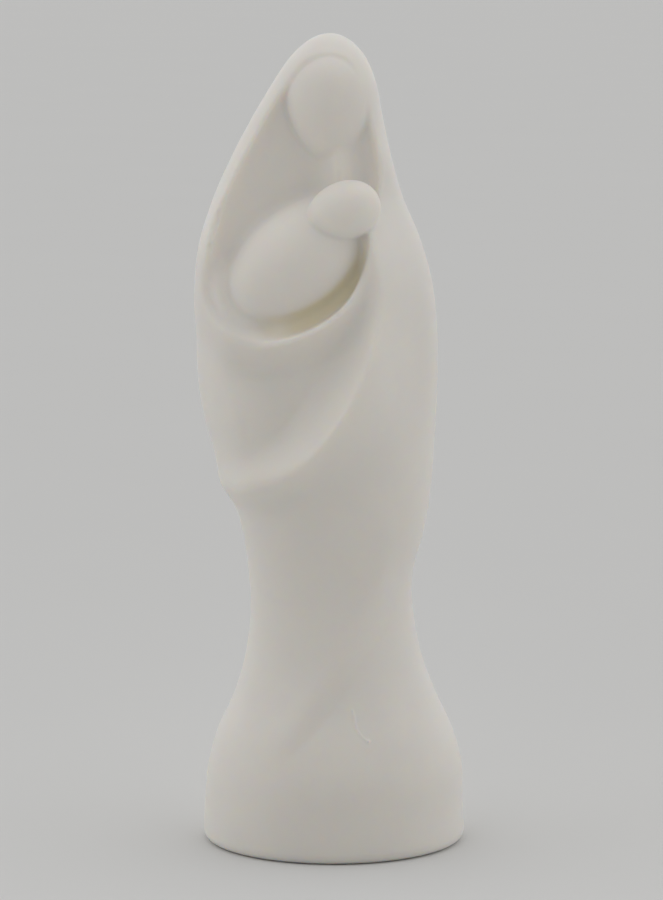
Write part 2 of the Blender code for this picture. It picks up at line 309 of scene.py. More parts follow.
@dataclass(frozen=True)
class Egg:
    """A rounded body, turned about Y by tilt degrees, +X towards +Z.

    The taper widens the far end of its first axis and narrows the near one, up to taper_end half axes out.
    """

    middle: Triple
    half_axes: Triple
    tilt: float
    taper: float = 0.0
    taper_end: float = 1.5

    def distance(self, p: np.ndarray) -> np.ndarray:
        """Distance, about, from the egg's surface.

        Args:
            p: The points, one row each, in shares of the height.

        Returns:
            The distance for each point, under zero inside.
        """
        away = np.stack([self.along(p), p[:, 1] - self.middle[1], -self.under(p)], 1)
        scaled = away / np.array(self.half_axes)
        swelling = 1.0 + self.taper * np.clip(scaled[:, 0], -self.taper_end, self.taper_end)
        scaled[:, 1:] /= swelling[:, None]
        reach = np.linalg.norm(scaled, axis=1)
        slope = np.linalg.norm(scaled / np.array(self.half_axes), axis=1)
        return reach * (reach - 1.0) / np.maximum(slope, LEAST_SLOPE)

    def ring(self, p: np.ndarray) -> np.ndarray:
        """Distance, about, from the egg's outline in the front view, whatever the depth."""
        return self.distance(p * np.array([1.0, 0.0, 1.0]))

    def along(self, p: np.ndarray) -> np.ndarray:
        """How far each point lies along the egg's long axis in the front view."""
        turn = math.radians(self.tilt)
        return (p[:, 0] - self.middle[0]) * math.cos(turn) + (p[:, 2] - self.middle[2]) * math.sin(turn)

    def under(self, p: np.ndarray) -> np.ndarray:
        """How far each point lies under the egg's long axis in the front view."""
        turn = math.radians(self.tilt)
        return (p[:, 0] - self.middle[0]) * math.sin(turn) - (p[:, 2] - self.middle[2]) * math.cos(turn)


@dataclass(frozen=True)
class Swell:
    """A soft rise or dip of the front, turned by tilt degrees in the front view."""

    middle: Pair
    half_axes: Pair
    tilt: float
    height: float

    def rise(self, p: np.ndarray) -> np.ndarray:
        """How far the swell lifts the cloth.

        Args:
            p: The points, one row each, in shares of the height.

        Returns:
            The lift at each point.
        """
        turn = math.radians(self.tilt)
        x = p[:, 0] - self.middle[0]
        z = p[:, 2] - self.middle[1]
        along = (x * math.cos(turn) + z * math.sin(turn)) / self.half_axes[0]
        across = (z * math.cos(turn) - x * math.sin(turn)) / self.half_axes[1]
        return self.height * np.exp(-(along**2) - across**2)


@dataclass(frozen=True)
class Child:
    """The wrapped child: an egg for its body and a ball for its head."""

    body: Egg = Egg((-0.0418, -0.0700, 0.7275), (0.0925, 0.0660, 0.0615), 40.5)
    head: Egg = Egg((0.0145, -0.1030, 0.7915), (0.0455, 0.0380, 0.0350), 18.0, 0.08)
    body_round: Pair = (0.0250, 0.0080)
    head_round: float = 0.0050


@dataclass(frozen=True)
class Crevice:
    """The narrow gap between the child's lower right side and the lip of cloth around it.

    Its painted shade, a darker and yellower tint, starts and ends at two given shares of its depth, and at
    two given distances inside the lip.
    """

    depth: float = 0.0260
    middle: float = 0.000
    half_length: float = 0.102
    reach: Pair = (0.000, 0.020)
    start: Pair = (-0.120, -0.060)
    front: float = -0.040
    # Painted shade: where the crevice's darker, yellower tint starts and ends.
    painted_shade_depth: Pair = (-0.2, -0.9)
    painted_shade_edge: Pair = (0.002, -0.006)

    def share(self, p: np.ndarray, child: Child) -> np.ndarray:
        """1 in the gap and 0 on the other sides of the child."""
        return smooth_step(child.body.under(p), *self.reach) * smooth_step(p[:, 0], *self.start)

    def fall(self, p: np.ndarray, child: Child) -> np.ndarray:
        """How far the gap's floor lies under the cloth: most at its middle, nothing at its ends."""
        away = (child.body.along(p) - self.middle) / self.half_length
        return self.depth * np.clip(1.0 - away**2, 0.0, None)


@dataclass(frozen=True)
class Lip:
    """The rolled edge of cloth around the child."""

    ring: Egg = Egg((-0.0555, 0.0, 0.7225), (0.1130, 1.0, 0.0790), 29.5)
    ridge: float = 0.0080
    width: float = 0.0220
    inside: float = 0.5
    inset: float = 0.0010
    edge_round: Pair = (0.0240, 0.0070)

    def rise(self, p: np.ndarray) -> np.ndarray:
        """How far the lip stands out of the drape.

        Args:
            p: The points, one row each, in shares of the height.

        Returns:
            The rise at each point.
        """
        away = self.ring.ring(p)
        width = np.where(away < 0.0, self.inside, 1.0) * self.width
        return self.ridge * np.exp(-((away / width) ** 2))


@dataclass(frozen=True)
class Sleeve:
    """The mantle's crescent edge, which falls from the shoulder and sweeps under the child."""

    ring: Egg = Egg((-0.0560, 0.0, 0.6225), (0.1800, 1.0, 0.1000), 64.8)
    ridge: float = 0.0240
    inside: Pair = (0.0290, 0.0190)
    outside: Pair = (0.0220, 0.0340)
    rising: Pair = (-0.08, 0.04)
    start: Pair = (0.84, 0.70)
    end: Pair = (-0.030, 0.030)

    def rise(self, p: np.ndarray) -> np.ndarray:
        """How far the crescent stands out of the drape.

        Args:
            p: The points, one row each, in shares of the height.

        Returns:
            The rise at each point.
        """
        away = self.ring.ring(p)
        rising = smooth_step(p[:, 0], *self.rising)
        width = np.where(away < 0.0, between(*self.inside, rising), between(*self.outside, rising))
        strength = smooth_step(p[:, 2], *self.start) * smooth_step(self.ring.under(p), *self.end)
        return self.ridge * np.exp(-((away / width) ** 2)) * strength


@dataclass(frozen=True)
class Pocket:
    """The hollow of cloth between the lip and the crescent."""

    depth: float = 0.0380
    wall: float = 0.0560
    top: Pair = (-0.0100, 0.0500)
    side: Pair = (-0.1550, -0.0550)
    lean: float = 0.42
    level: float = 0.60

    def dip(self, p: np.ndarray, lip: Lip, sleeve: Sleeve) -> np.ndarray:
        """How far the cloth falls back in the pocket.

        Args:
            p: The points, one row each, in shares of the height.
            lip: The lip over the pocket.
            sleeve: The crescent around it.

        Returns:
            The fall at each point.
        """
        beside = p[:, 0] + self.lean * (p[:, 2] - self.level)
        inside = smooth_step(-sleeve.ring.ring(p), 0.0, self.wall)
        share = inside * smooth_step(lip.ring.ring(p), *self.top)
        return share * smooth_step(beside, *self.side) * self.depth


@dataclass(frozen=True)
class Hem:
    """The mantle's lower edge, which winds down across the skirt."""

    level: float = 0.1775
    slope: float = 1.214
    curve: float = 4.1
    step: float = 0.0170
    edge: float = 0.0440
    fade: float = 0.0420
    top: Pair = (0.50, 0.35)
    left: Pair = (-0.10, -0.02)
    right: Pair = (0.060, 0.090)
    right_share: float = 0.6

    def over(self, p: np.ndarray) -> np.ndarray:
        """Height over the hem, measured square to it.

        Args:
            p: The points, one row each, in shares of the height.

        Returns:
            The height for each point, under zero on the skirt below the hem.
        """
        across = p[:, 0]
        line = self.level + self.slope * across + self.curve * across**2
        slope = self.slope + 2.0 * self.curve * across
        return (p[:, 2] - line) / np.sqrt(1.0 + slope**2)

    def rise(self, p: np.ndarray) -> np.ndarray:
        """How far the hem stands out of the skirt.

        Args:
            p: The points, one row each, in shares of the height.

        Returns:
            The rise at each point.
        """
        above = self.over(p)
        edge = smooth_step(above, 0.0, self.edge) * np.exp(-np.clip(above, 0.0, None) / self.fade)
        low = smooth_step(p[:, 2], *self.top) * smooth_step(p[:, 0], *self.left)
        return self.step * edge * low * between(1.0, self.right_share, smooth_step(p[:, 0], *self.right))


@dataclass(frozen=True)
class Folds:
    """All that the cloth does over the plain drape."""

    lip: Lip = Lip()
    sleeve: Sleeve = Sleeve()
    pocket: Pocket = Pocket()
    hem: Hem = Hem()
    elbow: Swell = Swell((-0.1080, 0.5450), (0.0850, 0.0420), 100.0, 0.0140)
    arm: Swell = Swell((0.0850, 0.6500), (0.1300, 0.0360), 100.0, -0.0150)
    facing: Pair = (-0.05, 0.02)

    def rise(self, p: np.ndarray) -> np.ndarray:
        """How far the cloth stands out of the drape.

        Args:
            p: The points, one row each, in shares of the height.

        Returns:
            The rise at each point.
        """
        front = self.lip.rise(p) + self.sleeve.rise(p) + self.elbow.rise(p) + self.arm.rise(p)
        front = front - self.pocket.dip(p, self.lip, self.sleeve)
        return smooth_step(-p[:, 1], *self.facing) * front + self.hem.rise(p)


@dataclass(frozen=True)
class Hood:
    """The opening of the hood and the hollow behind the child."""

    rim_sides: Pair = (0.0045, 0.0030)
    rim_top: float = 0.0130
    rim_rise: Pair = (0.90, 1.00)
    rim_turn: Pair = (-0.03, 0.03)
    right_edge: Triple = (0.0505, 0.7500, 0.27)
    depth: float = 0.0480
    crown_depth: float = 0.0540
    crown: Pair = (0.88, 0.97)
    middle: float = -0.020
    width: float = 0.100
    rise: float = 0.0150
    bowl: float = 0.0450
    bowl_reach: Pair = (-0.060, -0.005)
    bowl_level: Pair = (0.74, 0.65)
    bowl_side: Pair = (0.03, 0.10)
    edge: float = 0.0090
    spread: float = 0.0220
    rim_round: float = 0.0042
    rim_level: Pair = (0.76, 0.70)
    floor_round: Pair = (0.0300, 0.0080)
    side_round: float = 0.02
    mouth_round: float = 0.004
    lip_round: float = 0.002

    def opening(self, p: np.ndarray, drape: Drape) -> np.ndarray:
        """Distance, about, from the edge of the hood's opening in the front view.

        Args:
            p: The points, one row each, in shares of the height.
            drape: The drape that the hood is cut into.

        Returns:
            The distance for each point, under zero in the opening.
        """
        side = between(*self.rim_sides, smooth_step(p[:, 0], *self.rim_turn))
        rim = between(side, self.rim_top, smooth_step(p[:, 2], *self.rim_rise))
        return drape.outline(p[:, 0], p[:, 2]) + rim

    def floor(self, p: np.ndarray, opening: np.ndarray, lip: Lip) -> np.ndarray:
        """How far forward the hollow's floor stands.

        Args:
            p: The points, one row each, in shares of the height.
            opening: Distance of each from the hood's opening.
            lip: The lip that closes the hollow below.

        Returns:
            The floor's distance in front of the figure's middle.
        """
        x, _, z = p.T
        bowl = smooth_step(lip.ring.ring(p), *self.bowl_reach) * smooth_step(z, *self.bowl_level)
        bowl = bowl * smooth_step(-x, *self.bowl_side)
        floor = between(self.depth, self.crown_depth, smooth_step(z, *self.crown))
        floor = floor + self.rise * ((x - self.middle) / self.width) ** 2 + self.bowl * bowl
        return floor + self.edge * np.exp(np.minimum(opening, 0.0) / self.spread)

    def hollow(
        self, p: np.ndarray, opening: np.ndarray, gap: np.ndarray, share: np.ndarray, lip: Lip
    ) -> np.ndarray:
        """The field of the space inside the hood, open to the front.

        Args:
            p: The points, one row each, in shares of the height.
            opening: Distance of each from the hood's opening.
            gap: Distance of each behind the crevice's floor.
            share: 1 in the crevice, 0 away from it.
            lip: The lip that closes the hollow below.

        Returns:
            The field's value at each point.
        """
        x, y, z = p.T
        behind = between(self.floor(p, opening, lip) + y, gap, share)
        window = joined(lip.ring.under(p), lip.ring.ring(p) + lip.inset, self.lip_round)
        across, level, lean = self.right_edge
        right = (x - across - lean * (z - level)) / math.hypot(1.0, lean)
        window = overlap(window, right, self.side_round)
        window = overlap(window, opening, self.mouth_round)
        return overlap(behind, window, between(*self.floor_round, share))

    def edge_round(self, p: np.ndarray, lip: Lip, share: np.ndarray) -> np.ndarray:
        """The rounding of the opening's edge: fine at the rim, soft at the lip, crisp at the crevice."""
        lower = between(*lip.edge_round, share)
        return between(self.rim_round, lower, smooth_step(p[:, 2], *self.rim_level))


@dataclass(frozen=True)
class StatueForm:
    """The whole figure: mother, child, mantle, skirt and foot as one field.

    The height is in metres. The field's slopes are read over one of slope_parts parts of it.
    """

    height: float = 0.200
    drape: Drape = Drape()
    folds: Folds = Folds()
    hood: Hood = Hood()
    child: Child = Child()
    crevice: Crevice = Crevice()
    face: Egg = Egg((-0.0025, -0.0440, 0.9150), (0.0645, 0.0530, 0.0525), 90.0, 0.22)
    neck: Egg = Egg((0.0090, -0.0400, 0.8350), (0.0140, 0.0330, 0.0750), 4.0)
    face_round: float = 0.0080
    neck_round: float = 0.0300
    slope_parts: float = 4000.0

    def gap_share(self, points: np.ndarray) -> np.ndarray:
        """1 in the crevice under the child and 0 away from it, at points in metres."""
        return self.crevice.share(points / self.height, self.child)

    def painted_shade_share(self, points: np.ndarray) -> np.ndarray:
        """How deep each point lies in the crevice, for the painted shade that darkens and yellows it.

        Args:
            points: Points in metres, one row each.

        Returns:
            0 outside the crevice, rising to 1 at its floor.
        """
        p = points / self.height
        body = self.drape.distance(p) - self.folds.rise(p)
        start, end = self.crevice.painted_shade_depth
        depth = smooth_step(body, start * self.crevice.depth, end * self.crevice.depth)
        depth = depth * smooth_step(self.folds.lip.ring.ring(p), *self.crevice.painted_shade_edge)
        return depth * self.gap_share(points)

    def value(self, points: np.ndarray) -> np.ndarray:
        """The field at each point.

        Args:
            points: Points in metres, one row each.

        Returns:
            Distance, about, from the statue's surface in metres, under zero inside.
        """
        p = points / self.height
        share = self.crevice.share(p, self.child)
        plain = self.drape.distance(p)
        opening = self.hood.opening(p, self.drape)
        body = plain - self.folds.rise(p)
        gap = np.maximum(-body - self.crevice.fall(p, self.child), p[:, 1] - self.crevice.front)
        hollow = self.hood.hollow(p, opening, gap, share, self.folds.lip)
        body = overlap(body, -hollow, self.hood.edge_round(p, self.folds.lip, share))
        body = joined(body, self.neck.distance(p), self.neck_round)
        body = joined(body, self.face.distance(p), self.face_round)
        body = joined(body, self.child.body.distance(p), between(*self.child.body_round, share))
        body = joined(body, self.child.head.distance(p), self.child.head_round)
        return overlap(body, -p[:, 2], self.drape.foot.edge) * self.height

    def gradient(self, points: np.ndarray) -> tuple[np.ndarray, np.ndarray]:
        """The field and its slope along X, Y and Z.

        Args:
            points: Points in metres, one row each.

        Returns:
            The field at each point, and its three slopes there.
        """
        step = self.height / self.slope_parts
        slopes = [self.value(points + axis * step) - self.value(points - axis * step) for axis in np.eye(3)]
        return self.value(points), np.stack(slopes, 1) / (2.0 * step)


@dataclass(frozen=True)
class Blemish:
    """A fine raised hair line in the cast skirt, with a bead at its end. Sizes are in metres.

    The faces within reach of the line are split once for each of its reach_shares.
    """

    line: tuple[Pair, ...] = ((0.0052, 0.0366), (0.0062, 0.0322), (0.0076, 0.0305), (0.0089, 0.0295))
    width: float = 0.00028
    height: float = 0.00016
    bead: float = 0.00040
    bead_height: float = 0.00032
    reach: float = 0.0012
    reach_shares: Triple = (1.6, 1.0, 0.7)
    nowhere: float = 1.0

    def away(self, points: np.ndarray) -> np.ndarray:
        """Distance from the line in the front view.

        Args:
            points: Points in metres, one row each.

        Returns:
            The distance for each point of the front, and a great one for those of the back.
        """
        best = np.full(len(points), self.nowhere)
        flat = points[:, [0, 2]]
        for start, end in zip(self.line, self.line[1:]):
            a, b = np.array(start), np.array(end)
            t = np.clip((flat - a) @ (b - a) / ((b - a) @ (b - a)), 0.0, 1.0)
            best = np.minimum(best, np.linalg.norm(flat - a - t[:, None] * (b - a), axis=1))
        return np.where(points[:, 1] < 0.0, best, self.nowhere)

    def rise(self, points: np.ndarray) -> np.ndarray:
        """How far the line and its bead stand out of the skirt.

        Args:
            points: Points in metres, one row each.

        Returns:
            The rise at each point, in metres.
        """
        ridge = self.height * np.exp(-((self.away(points) / self.width) ** 2))
        end = np.linalg.norm(points[:, [0, 2]] - np.array(self.line[-1]), axis=1)
        bead = self.bead_height * np.exp(-((end / self.bead) ** 2))
        return np.where(points[:, 1] < 0.0, np.maximum(ridge, bead), 0.0)


@dataclass
class NodeBench:
    """Lays out the nodes of one material or sky, from right to left in some rows."""

    tree: bpy.types.NodeTree
    column: int = 0
    spacing: tuple[int, int] = (-220, 120)
    rows: int = 3
    mix_inputs: tuple[int, int] = (6, 7)
    mix_output: int = 2

    def add(self, kind: str, **settings: object) -> bpy.types.Node:
        """Adds a node.

        Args:
            kind: The node's type name.
            **settings: Its properties, or its inputs' values under their names with underscores.

        Returns:
            The new node.
        """
        node = self.tree.nodes.new(kind)
        self.column += 1
        across, up = self.spacing
        node.location = (across * self.column, up * (self.column % self.rows))
        for name, value in settings.items():
            if hasattr(node, name):
                setattr(node, name, value)
            else:
                node.inputs[name.replace("_", " ")].default_value = value
        return node

    def link(self, source: bpy.types.NodeSocket, target: bpy.types.NodeSocket) -> None:
        """Joins two sockets."""
        self.tree.links.new(source, target)

    def remap(
        self, source: bpy.types.NodeSocket, old: Pair, new: Pair, way: Ramp = Ramp.LINEAR
    ) -> bpy.types.NodeSocket:
        """Turns the numbers between the old pair into those between the new pair.

        Args:
            source: The socket that gives the numbers.
            old: The range that comes in.
            new: The range that goes out.
            way: The kind of ramp between them.

        Returns:
            The socket that gives the new numbers.
        """
        node = self.add("ShaderNodeMapRange", interpolation_type=way.value)
        self.link(source, node.inputs["Value"])
        for name, number in zip(("From Min", "From Max", "To Min", "To Max"), (*old, *new)):
            node.inputs[name].default_value = number
        return node.outputs["Result"]

    def mix(self, share: bpy.types.NodeSocket, first: object, second: object) -> bpy.types.NodeSocket:
        """Mixes two colours by a share.

        Args:
            share: The socket that gives the share of the second colour.
            first: A colour, or a socket that gives one.
            second: The other one.

        Returns:
            The socket that gives the mixed colour.
        """
        node = self.add("ShaderNodeMix", data_type="RGBA")
        self.link(share, node.inputs[0])
        for place, colour in zip(self.mix_inputs, (first, second)):
            if isinstance(colour, bpy.types.NodeSocket):
                self.link(colour, node.inputs[place])
            else:
                node.inputs[place].default_value = (*colour, 1.0)
        return node.outputs[self.mix_output]


@dataclass(frozen=True)
class CastFinish:
    """The satin, slightly translucent, warm white of the casting, with painted shade down the crevice. Grain
    sizes are in metres.
    """

    name: str = "warm_white_cast"
    body: Colour = (0.855, 0.822, 0.775)
    cloudy: Colour = (0.875, 0.840, 0.785)
    # Painted shade: the darker, yellower colour mixed in down the crevice, standing in for dim, warm bounced
    # light.
    crevice: Colour = (0.800, 0.735, 0.560)
    cloud_size: float = 0.016
    grain_size: float = 0.0011
    grain_height: float = 0.000012
    wave_size: float = 0.009
    wave_height: float = 0.000050
    roughness: Pair = (0.46, 0.56)
    gloss: float = 0.4
    cloud_detail: float = 3.0
    cloud_range: Pair = (0.35, 0.65)
    patch_share: float = 0.6
    patch_detail: float = 4.0
    patch_range: Pair = (0.3, 0.7)
    wave_detail: float = 1.0
    grain_detail: float = 2.0
    noise_roughness: float = 0.55
    glow_radius: Triple = (1.0, 0.8, 0.55)
    glow_scale: float = 0.0024

    def make(self) -> bpy.types.Material:
        """Builds the material.

        Returns:
            The material, which reads the mesh's crevice attribute for its painted shade.
        """
        material = bpy.data.materials.new(self.name)
        material.use_nodes = True
        bench = NodeBench(material.node_tree)
        shader = material.node_tree.nodes["Principled BSDF"]
        shader.inputs["Subsurface Weight"].default_value = 1.0
        shader.inputs["Subsurface Radius"].default_value = self.glow_radius
        shader.inputs["Subsurface Scale"].default_value = self.glow_scale
        shader.inputs["Specular IOR Level"].default_value = self.gloss
        place = bench.add("ShaderNodeTexCoord").outputs["Object"]
        bench.link(self.colour(bench, place), shader.inputs["Base Color"])
        bench.link(self.sheen(bench, place), shader.inputs["Roughness"])
        bench.link(self.skin(bench, place), shader.inputs["Normal"])
        return material

    def noise(
        self, bench: NodeBench, place: bpy.types.NodeSocket, size: float, detail: float
    ) -> bpy.types.NodeSocket:
        """A noise of soft blotches.

        Args:
            bench: The material's bench.
            place: The socket that gives each point's place.
            size: About how wide a blotch is.
            detail: How much finer noise lies in it.

        Returns:
            The socket that gives the noise.
        """
        rough = self.noise_roughness
        node = bench.add("ShaderNodeTexNoise", Scale=1.0 / size, Detail=detail, Roughness=rough)
        bench.link(place, node.inputs["Vector"])
        return node.outputs["Fac"]

    def colour(self, bench: NodeBench, place: bpy.types.NodeSocket) -> bpy.types.NodeSocket:
        """Warm white with faint clouds, and painted shade, darker and yellower, where the crevice goes in.

        Args:
            bench: The material's bench.
            place: The socket that gives each point's place.

        Returns:
            The socket that gives the colour.
        """
        clouds = self.noise(bench, place, self.cloud_size, self.cloud_detail)
        clouds = bench.remap(clouds, self.cloud_range, (0.0, 1.0))
        white = bench.mix(clouds, self.body, self.cloudy)
        # Painted shade: the crevice mark mixes in the darker, yellower crevice colour.
        depth = bench.add("ShaderNodeAttribute", attribute_name=CREVICE_SHADE_MARK).outputs["Fac"]
        return bench.mix(depth, white, self.crevice)

    def sheen(self, bench: NodeBench, place: bpy.types.NodeSocket) -> bpy.types.NodeSocket:
        """Satin that is a little duller in patches."""
        patches = self.noise(bench, place, self.cloud_size * self.patch_share, self.patch_detail)
        return bench.remap(patches, self.patch_range, self.roughness)

    def skin(self, bench: NodeBench, place: bpy.types.NodeSocket) -> bpy.types.NodeSocket:
        """The cast skin: a very fine grain over slow, shallow waves.

        Args:
            bench: The material's bench.
            place: The socket that gives each point's place.

        Returns:
            The socket that gives the skin's normal.
        """
        waves = bench.add("ShaderNodeBump", Strength=1.0, Distance=self.wave_height)
        bench.link(self.noise(bench, place, self.wave_size, self.wave_detail), waves.inputs["Height"])
        grain = bench.add("ShaderNodeBump", Strength=1.0, Distance=self.grain_height)
        bench.link(self.noise(bench, place, self.grain_size, self.grain_detail), grain.inputs["Height"])
        bench.link(waves.outputs["Normal"], grain.inputs["Normal"])
        return grain.outputs["Normal"]


@dataclass
class Statue:
    """The casting: a fine mesh of the statue's form.

    A rough body is remeshed in passes, each with smaller voxels. In each pass the mesh is sunk into the
    crevice, then drawn onto the form and evened by turns, and drawn onto the form a last time. A draw moves a
    vertex by draw_reach voxels at most. The bed and skin_out are in metres.
    """

    form: StatueForm = field(default_factory=StatueForm)
    blemish: Blemish = field(default_factory=Blemish)
    resolution: Resolution = Resolution.FULL
    rough_segments: int = 64
    rough_depth: float = 0.9
    crown_width: float = 4.0
    passes: tuple[float, ...] = (2.0, 1.4, 1.0)
    sinkings: int = 40
    sink_share: float = 0.8
    least_gap: float = 0.01
    turns: int = 3
    draws: int = 2
    last_draws: int = 3
    draw_reach: float = 1.5
    least_slope: float = 0.05
    evening: float = 0.5
    bed: float = 0.00006
    skin_out: float = 0.0001
    start_swell: Swell = Swell((0.0145, 0.7915), (0.06, 0.06), 0.0, 0.05)
    node: str = "virgin_and_child"

    def rough_body(self) -> bpy.types.Mesh:
        """Stretches a ball over the drape, and swells it where the child's head comes forward.

        Returns:
            The rough body's mesh.
        """
        drape, height = self.form.drape, self.form.height
        bm = bmesh.new()
        segments = self.rough_segments
        bmesh.ops.create_uvsphere(bm, u_segments=segments, v_segments=segments, radius=1.0)
        for vert in bm.verts:
            level = np.array([0.5 + 0.5 * vert.co.z])
            around = math.atan2(vert.co.y, vert.co.x)
            half = math.sqrt(max(0.0, float(drape.width_squared(level)[0]))) * height
            half *= min(1.0, math.sqrt(max(0.0, 1.0 - vert.co.z**2)) * self.crown_width)
            across = float(drape.sideways(level)[0]) * height + half * math.cos(around)
            spot = np.array([[across / height, 0.0, level[0]]])
            swell = float(self.start_swell.rise(spot)[0]) * height * max(0.0, -math.sin(around))
            forward = self.rough_depth * half * math.sin(around) - swell
            vert.co = (across, forward, level[0] * height)
        bm.normal_update()
        mesh = bpy.data.meshes.new("statue_casting")
        bm.to_mesh(mesh)
        bm.free()
        return mesh

    def points(self, mesh: bpy.types.Mesh) -> np.ndarray:
        """Reads the mesh's vertices.

        Args:
            mesh: The mesh to read.

        Returns:
            The vertices' places, one row each.
        """
        flat = np.empty(len(mesh.vertices) * 3)
        mesh.vertices.foreach_get("co", flat)
        return flat.reshape(-1, 3)

    def place(self, mesh: bpy.types.Mesh, points: np.ndarray) -> None:
        """Puts the mesh's vertices at the points."""
        mesh.vertices.foreach_set("co", points.ravel())
        mesh.update()

    def remesh(self, obj: bpy.types.Object, voxel: float) -> None:
        """Replaces the object's mesh by even voxel faces.

        Args:
            obj: The object whose mesh is replaced.
            voxel: The size of the faces.
        """
        modifier = obj.modifiers.new("Remesh", "REMESH")
        modifier.mode = "VOXEL"
        modifier.voxel_size = voxel
        modifier.adaptivity = 0.0
        graph = bpy.context.evaluated_depsgraph_get()
        made = bpy.data.meshes.new_from_object(obj.evaluated_get(graph))
        obj.modifiers.clear()
        old = obj.data
        obj.data = made
        bpy.data.meshes.remove(old)

    def sink(self, mesh: bpy.types.Mesh) -> None:
        """Moves the skin that bridges the crevice straight back to the crevice's floor.

        Args:
            mesh: The mesh to move.
        """
        p = self.points(mesh)
        front = self.form.crevice.front * self.form.height
        bridges = (self.form.gap_share(p) > self.least_gap) & (p[:, 1] < front)
        over = np.flatnonzero(bridges & (self.form.value(p) > self.skin_out))
        q = p[over]
        for _ in range(self.sinkings):
            q[:, 1] += np.clip(self.form.value(q) - self.skin_out, 0.0, None) * self.sink_share
        p[over] = q
        self.place(mesh, p)

    def draw_onto_form(self, mesh: bpy.types.Mesh, rounds: int, reach: float) -> None:
        """Moves each vertex onto the form's surface.

        Args:
            mesh: The mesh to move.
            rounds: How often each vertex is moved.
            reach: The furthest that a vertex moves in a round, in metres.
        """
        p = self.points(mesh)
        for _ in range(rounds):
            value, slope = self.form.gradient(p)
            step = slope * (value / np.maximum((slope**2).sum(1), self.least_slope))[:, None]
            length = np.linalg.norm(step, axis=1, keepdims=True)
            p -= step * np.minimum(1.0, reach / np.maximum(length, TINY))
        self.place(mesh, p)

    def relax(self, mesh: bpy.types.Mesh) -> None:
        """Evens the spacing of the vertices.

        Args:
            mesh: The mesh to even.
        """
        bm = bmesh.new()
        bm.from_mesh(mesh)
        axes = dict(use_axis_x=True, use_axis_y=True, use_axis_z=True)
        bmesh.ops.smooth_vert(bm, verts=bm.verts, factor=self.evening, **axes)
        bm.to_mesh(mesh)
        bm.free()

    def cut_flat(self, mesh: bpy.types.Mesh) -> None:
        """Cuts the underside to one flat face on the ground.

        Args:
            mesh: The mesh to cut.
        """
        bm = bmesh.new()
        bm.from_mesh(mesh)
        whole = bm.verts[:] + bm.edges[:] + bm.faces[:]
        plane = dict(plane_co=(0, 0, self.bed), plane_no=(0, 0, 1))
        bmesh.ops.bisect_plane(bm, geom=whole, clear_inner=True, **plane)
        rim = [edge for edge in bm.edges if edge.is_boundary]
        for vert in {vert for edge in rim for vert in edge.verts}:
            vert.co.z = 0.0
        bmesh.ops.contextual_create(bm, geom=rim)
        bmesh.ops.triangulate(bm, faces=[face for face in bm.faces if len(face.verts) > 3])
        bmesh.ops.recalc_face_normals(bm, faces=bm.faces)
        bm.to_mesh(mesh)
        bm.free()

    def raise_blemish(self, mesh: bpy.types.Mesh) -> None:
        """Splits the faces near the blemish finely and raises it.

        Args:
            mesh: The casting's mesh.
        """
        bm = bmesh.new()
        bm.from_mesh(mesh)
        for share in self.blemish.reach_shares:
            bm.edges.ensure_lookup_table()
            middles = np.array([(edge.verts[0].co + edge.verts[1].co) / 2.0 for edge in bm.edges])
            near = np.flatnonzero(self.blemish.away(middles) < self.blemish.reach * share)
            bmesh.ops.subdivide_edges(bm, edges=[bm.edges[i] for i in near], cuts=1, use_grid_fill=True)
            bmesh.ops.triangulate(bm, faces=[face for face in bm.faces if len(face.verts) > 3])
        bm.to_mesh(mesh)
        bm.free()
        p = self.points(mesh)
        value, slope = self.form.gradient(p)
        rise = self.blemish.rise(p)
        raised = rise > SPECK
        outward = slope / np.linalg.norm(slope, axis=1, keepdims=True)
        p[raised] += (outward * (rise - value)[:, None])[raised]
        self.place(mesh, p)

    def mark_crevice_shade(self, mesh: bpy.types.Mesh) -> None:
        """Writes how deep each vertex lies in the crevice, from 0 to 1, for the finish's painted shade."""
        mark = mesh.attributes.new(CREVICE_SHADE_MARK, "FLOAT", "POINT")
        mark.data.foreach_set("value", self.form.painted_shade_share(self.points(mesh)).astype(np.float32))

    def keep_in_box(self, mesh: bpy.types.Mesh) -> None:
        """Holds the mesh inside the solid's own box."""
        low, high = (np.array(corner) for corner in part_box(self.node))
        self.place(mesh, np.clip(self.points(mesh), low, high))

    def build(self) -> bpy.types.Object:
        """Makes the casting, which stands in for the solid.

        Returns:
            The casting's object.
        """
        obj = bpy.data.objects.new("statue_casting", self.rough_body())
        bpy.context.scene.collection.objects.link(obj)
        voxel = self.resolution.value
        for size in self.passes:
            self.remesh(obj, voxel * size)
            self.sink(obj.data)
            for _ in range(self.turns):
                self.draw_onto_form(obj.data, self.draws, voxel * self.draw_reach)
                self.relax(obj.data)
            self.draw_onto_form(obj.data, self.last_draws, voxel)
        self.cut_flat(obj.data)
        self.raise_blemish(obj.data)
        self.keep_in_box(obj.data)
        # Painted shade: marks how deep each vertex lies in the crevice.
        self.mark_crevice_shade(obj.data)
        obj.data.shade_smooth()
        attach(obj, "root")
        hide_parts(self.node)
        return obj

    def dress(self, obj: bpy.types.Object, finish: CastFinish) -> None:
        """Gives the casting its finish."""
        obj.data.materials.clear()
        obj.data.materials.append(finish.make())


